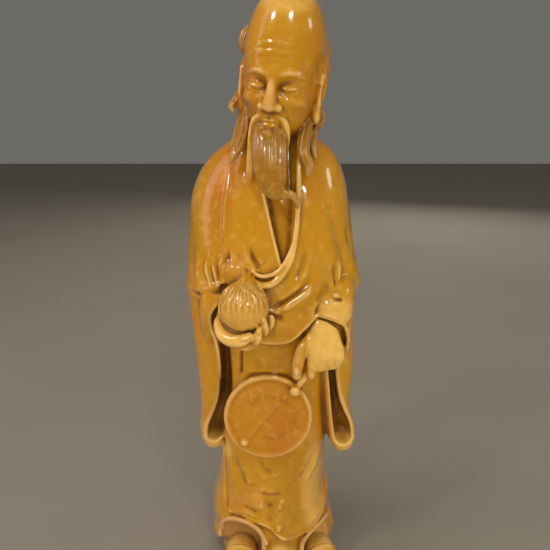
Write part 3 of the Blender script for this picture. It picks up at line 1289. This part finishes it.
def clay_share(clay, reach, places):
    """How much of the room within reach of each place is clay: a half on flat skin, more in a crease"""
    cell = 2 * VOXEL
    solid = np.clip(0.5 - clay.field[::2, ::2, ::2] / cell, 0, 1)
    half = max(1, round(reach / cell))
    return read_at(moving_mean(moving_mean(solid, half), half), cell, places)


def distance_to(form, places):
    found = np.full(len(places), FAR)
    for low, high, distance in form:
        near = np.all((places > low - FAR) & (places < high + FAR), axis=1)
        found[near] = np.minimum(found[near], distance(*places[near].T))
    return found


# The cuff, the hem, the skirt's left side and the tips of both sleeves
PALE_PATCHES = (
    # middle, half sizes, share, reach
    ((31, -30, 169), (8, 8, 4), 0.8, 6),
    ((3, -33, 6), (8, 10, 16), 1, 5),
    ((25, -25, 60), (7, 9, 24), 0.5, 6),
    ((-35, -20, 82), (8, 10, 6), 0.9, 5),
    ((40, -20, 82), (8, 10, 6), 0.9, 5),
)


def pale_forms():
    """Where the glaze is thin and pale, as form, share and reach"""
    yield sweep(LEFT_HAND_BACK, square=3), 1, 1.5
    yield sweep(RIGHT_THUMB), 0.8, 1.5
    yield fruit_form(), 0.5, 1.5
    for middle, half_sizes, share, reach in PALE_PATCHES:
        yield blob(middle, half_sizes), share, reach
    for shoe in SHOES:
        yield blob((shoe["x"], -33, 12), (SHOE_WIDTH / 2 + 2, 24, 14)), 0.85, 3
    yield blob((0, -8, 36), (11, 12, 7), pose=HEAD), 0.6, 6


def write_attributes(piece, clay):
    """What the glaze needs to know at each point: creases, edges, depths and what the point is part of"""
    mesh = piece.data
    places = np.empty(3 * len(mesh.vertices), np.float32)
    mesh.vertices.foreach_get("co", places)
    places = places.reshape(-1, 3) / MM

    def within(form, most, reach):
        return 1 - smoothstep(distance_to(form, places), most, reach)

    def beside(forms):
        apart = np.min([np.abs(distance_to(form, places)) for form in forms], axis=0)
        return 1 - smoothstep(apart, 0.4, 1.6)

    near, wide = clay_share(clay, CREASE_REACH, places), clay_share(clay, POOL_REACH, places)
    pale = np.max([share * within(form, 0.3, reach) for form, share, reach in pale_forms()], axis=0)
    hair = within(sum([sweep(lock) for lock in LOCKS], sweep(BEARD, square=2.5) + tuft_form()), 0.4, 1.4)
    fan = within(fan_form(), 0.3, 1.2)
    eye = within(both(eye_form), 0.5, 1.5)
    rise = smoothstep(places[:, 2], FRUIT_CENTRE[2] - 4, FRUIT_CENTRE[2] + 5)
    values = {
        "crease": smoothstep(near, 0.53, 0.7),
        "edge": (1 - smoothstep(near, 0.3, 0.43)) * (1 - 0.6 * hair - 0.3 * fan) * (1 - 0.55 * eye),
        "depth": smoothstep(wide, 0.52, 0.78),
        "bare": beside([arch_form(shoe) for shoe in SHOES]) * (1 - pale),
        "inside": beside([sleeve_mouth(sleeve) for sleeve in (RIGHT_SLEEVE, LEFT_SLEEVE)]) * (1 - pale),
        "pale": pale,
        "hair": hair,
        "strings": rise * within(fruit_form(), 0.3, 1.2),
        "fan": fan,
    }
    for name, value in values.items():
        attribute = mesh.attributes.new(name, "FLOAT", "POINT")
        attribute.data.foreach_set("value", value.astype(np.float32))


def colour(red, green, blue):
    """A colour given in the usual 0 to 255, as the shader wants it"""
    return (*((c / 12.92 if c <= 0.04045 else ((c + 0.055) / 1.055) ** 2.4)
              for c in (red / 255, green / 255, blue / 255)), 1.0)


class Nodes:
    """A few short words for building a material"""

    def __init__(self, name):
        self.material = bpy.data.materials.new(name)
        self.material.use_nodes = True
        self.tree = self.material.node_tree
        self.shader = self.tree.nodes["Principled BSDF"]

    def new(self, kind, sockets=None, **settings):
        node = self.tree.nodes.new(kind)
        for name, value in settings.items():
            setattr(node, name, value)
        for name, value in (sockets or {}).items():
            self.plug(value, node.inputs[name])
        return node

    def plug(self, value, socket):
        if isinstance(value, bpy.types.NodeSocket):
            self.tree.links.new(value, socket)
        else:
            socket.default_value = value

    def attribute(self, name):
        return self.new("ShaderNodeAttribute", attribute_name=name).outputs["Fac"]

    def between(self, value, low, high, least=0.0, most=1.0):
        sockets = {"Value": value, "From Min": low, "From Max": high, "To Min": least, "To Max": most}
        return self.new("ShaderNodeMapRange", sockets, interpolation_type="SMOOTHSTEP").outputs["Result"]

    def maths(self, operation, a, b):
        node = self.new("ShaderNodeMath", operation=operation)
        self.plug(a, node.inputs[0])
        self.plug(b, node.inputs[1])
        return node.outputs[0]

    def times(self, a, b):
        return self.maths("MULTIPLY", a, b)

    def mix(self, share, a, b):
        node = self.new("ShaderNodeMix", data_type="RGBA")
        self.plug(share, node.inputs["Factor"])
        self.plug(a, node.inputs[6])
        self.plug(b, node.inputs[7])
        return node.outputs[2]

    def bump(self, height, strength, distance, normal=None):
        sockets = {"Height": height, "Strength": strength, "Distance": distance}
        if normal:
            sockets["Normal"] = normal
        return self.new("ShaderNodeBump", sockets).outputs["Normal"]

    def noise(self, where, scale, detail):
        sockets = {"Vector": where, "Scale": scale, "Detail": detail}
        return self.new("ShaderNodeTexNoise", sockets).outputs["Fac"]


OCHRE = colour(190, 134, 14)
AMBER = colour(176, 100, 6)
OLIVE = colour(158, 128, 16)
PEACH = colour(216, 148, 84)
BROWN = colour(104, 58, 10)
DEEP = colour(136, 90, 16)
CREAM = colour(244, 200, 124)
BISCUIT = colour(178, 128, 86)
PALE = colour(236, 190, 98)

# What tints the glaze where an attribute is high: its name, the share and the colour, the top one last
PLACED_TINTS = (
    ("fan", 0.4, AMBER),
    ("hair", 0.75, DEEP),
    ("depth", 0.7, DEEP),
    ("pale", 0.8, PALE),
    ("inside", 0.45, BROWN),
    ("edge", 0.65, CREAM),
    ("crease", 0.8, BROWN),
    ("bare", 0.7, BISCUIT),
)


def fibres(n, where):
    """Fine lines down the fruit from its stalk, and along the hair, from 0 to 1"""
    split = n.new("ShaderNodeSeparateXYZ", {"Vector": where})
    across = n.maths("SUBTRACT", split.outputs["X"], FRUIT_CENTRE[0] * MM)
    ahead = n.maths("SUBTRACT", split.outputs["Y"], (FRUIT_CENTRE[1] - 1) * MM)
    angle = n.maths("ARCTAN2", ahead, across)
    bent = n.maths("ADD", n.times(angle, 24), n.times(n.noise(where, 170, 2), 14))
    strings = n.between(n.maths("SINE", bent, 0), -0.6, 0.9)
    drawn = n.new("ShaderNodeMapping", {"Vector": where, "Scale": Vector((1, 1, 0.07))}).outputs["Vector"]
    hairs = n.between(n.noise(drawn, 1100, 2), 0.36, 0.62)
    return n.times(strings, n.attribute("strings")), n.times(hairs, n.attribute("hair"))


def glaze():
    """Ochre glaze over stoneware: it pools dark in creases and in the sleeves, thins to cream on edges and
    drifts between amber and olive. Under the arches the clay is almost bare and dull."""
    n = Nodes("ochre_glaze")
    where = n.new("ShaderNodeTexCoord").outputs["Object"]
    runs = n.new("ShaderNodeMapping", {"Vector": where, "Scale": Vector((1, 1, 0.3))}).outputs["Vector"]
    drift = n.between(n.noise(runs, 26, 3), 0.42, 0.66)
    green = n.between(n.noise(runs, 19, 2), 0.5, 0.72)
    fine = n.between(n.noise(where, 260, 4), 0.35, 0.7)
    flecks = n.between(n.noise(where, 230, 3), 0.52, 0.72)
    blush = n.between(n.noise(where, 34, 2), 0.55, 0.75)
    strings, hairs = fibres(n, where)
    cells = n.new("ShaderNodeTexVoronoi", {"Vector": where, "Scale": 130.0})
    pin = n.between(cells.outputs["Distance"], 0.03, 0.075, 1.0, 0.0)
    rare = n.new("ShaderNodeSeparateColor", {"Color": cells.outputs["Color"]}).outputs["Red"]
    pin = n.times(pin, n.between(rare, 0.86, 0.88))
    layers = [(drift, 0.75, AMBER), (green, 0.5, OLIVE), (blush, 0.35, PEACH)]
    layers += [(n.attribute(name), share, tint) for name, share, tint in PLACED_TINTS]
    layers += [(strings, 0.5, DEEP), (hairs, 0.4, DEEP), (fine, 0.2, AMBER), (flecks, 0.16, PALE)]
    layers += [(pin, 0.8, BROWN)]
    tone = OCHRE
    for value, share, tint in layers:
        tone = n.mix(n.times(value, share), tone, tint)
    n.plug(tone, n.shader.inputs["Base Color"])
    n.plug(n.between(n.attribute("bare"), 0, 1, 0.2, 0.5), n.shader.inputs["Roughness"])
    n.plug(0.9, n.shader.inputs["Coat Weight"])
    n.plug(0.06, n.shader.inputs["Coat Roughness"])
    normal = n.bump(n.noise(where, 120, 2), 0.24, 0.0006)
    normal = n.bump(n.noise(where, 700, 2), 0.15, 0.0002, normal)
    normal = n.bump(strings, 0.7, -0.0004, normal)
    normal = n.bump(hairs, 0.4, -0.0003, normal)
    n.plug(normal, n.shader.inputs["Normal"])
    return n.material


def add_floor():
    """A wide pale table top under the figurine"""
    half = 3.0
    corners = np.array([(-half, -half, 0), (half, -half, 0), (half, half, 0), (-half, half, 0)])
    floor = bpy.data.objects.new("floor", mesh_of(corners, np.array([[0, 1, 2, 3]])))
    bpy.context.scene.collection.objects.link(floor)
    n = Nodes("pale_floor")
    where = n.new("ShaderNodeTexCoord").outputs["Object"]
    tone = n.mix(n.noise(where, 6, 3), colour(138, 130, 118), colour(148, 141, 130))
    n.plug(tone, n.shader.inputs["Base Color"])
    n.plug(0.7, n.shader.inputs["Roughness"])
    floor.data.materials.append(n.material)
    floor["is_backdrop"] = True


def add_light(name, place, size, energy, tint, target=(0, 0, 0.18), mirrored=True):
    """A soft lamp, as wide and as high as size says, that faces the target. The glaze mirrors it or not."""
    lamp = bpy.data.lights.new(name, "AREA")
    lamp.shape = "RECTANGLE"
    lamp.size, lamp.size_y = size
    lamp.energy = energy
    lamp.color = tint
    item = bpy.data.objects.new(name, lamp)
    item.location = place
    item.rotation_euler = (Vector(target) - Vector(place)).to_track_quat("-Z", "Y").to_euler()
    item.visible_glossy = mirrored
    bpy.context.scene.collection.objects.link(item)


def add_lights():
    """A window to the figurine's right, three ceiling lamps, and soft light from all sides"""
    add_light("window", (-1.0, -0.2, 0.66), (0.3, 1.0), 0.9, (1.0, 0.8, 0.88))
    add_light("key", (-1.0, -0.2, 0.66), (0.42, 1.0), 4.4, (1.0, 0.9, 0.86), mirrored=False)
    lamps = ((-0.48, -0.43, 0.83, 0.1, 1.2), (0.18, -0.62, 0.8, 0.1, 1.2), (0.7, -0.16, 0.6, 0.12, 0.25))
    for i, (x, y, z, size, energy) in enumerate(lamps):
        add_light(f"lamp_{i}", (x, y, z), (size, size), energy, (1.0, 0.95, 0.86))
    add_light("ceiling", (-0.2, -0.3, 1.3), (0.8, 0.6), 4.2, (1.0, 0.96, 0.88), mirrored=False)
    add_light("front", (-0.15, -1.0, 0.1), (0.9, 0.3), 5.4, (1.0, 0.97, 0.86), (0, 0, 0.06), mirrored=False)
    add_light("side", (0.6, -0.4, 0.07), (0.5, 0.2), 2.2, (1.0, 1.0, 0.8), (0, 0, 0.06), mirrored=False)
    add_light("back", (0.4, 1.2, 0.7), (0.8, 0.8), 6, (1.0, 0.97, 0.9), mirrored=False)
    world = bpy.data.worlds.new("studio")
    world.use_nodes = True
    world.node_tree.nodes["Background"].inputs["Color"].default_value = colour(214, 212, 202)
    world.node_tree.nodes["Background"].inputs["Strength"].default_value = 0.22
    bpy.context.scene.world = world
    bpy.context.scene.view_settings.view_transform = "Standard"


def add_camera():
    """The photograph's view: from above the figurine's chest, looking a little down"""
    lens = bpy.data.cameras.new("camera")
    focal_pixels, image_pixels = 551, 550
    lens.sensor_width = 36
    lens.lens = lens.sensor_width * focal_pixels / image_pixels
    camera = bpy.data.objects.new("camera", lens)
    camera.location = Vector((0.8, -295.68, 264.09)) * MM
    look_down = 16
    camera.rotation_euler = (math.radians(90 - look_down), 0, 0)
    bpy.context.scene.collection.objects.link(camera)
    bpy.context.scene.camera = camera


def main():
    clay = sculpt()
    clay.field = soften(clay.field)
    clay.field = np.maximum(clay.field, -clay.axis(2)[None, None, :])
    piece = skin_of(clay)
    write_attributes(piece, clay)
    piece.data.materials.append(glaze())
    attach(piece, "root")
    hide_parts(NODE)
    add_floor()
    add_lights()
    add_camera()
    boxes = {"cad": CAD_BOX, "visual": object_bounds()}
    boxes = {name: [list(corner) for corner in box] for name, box in boxes.items()}


main()
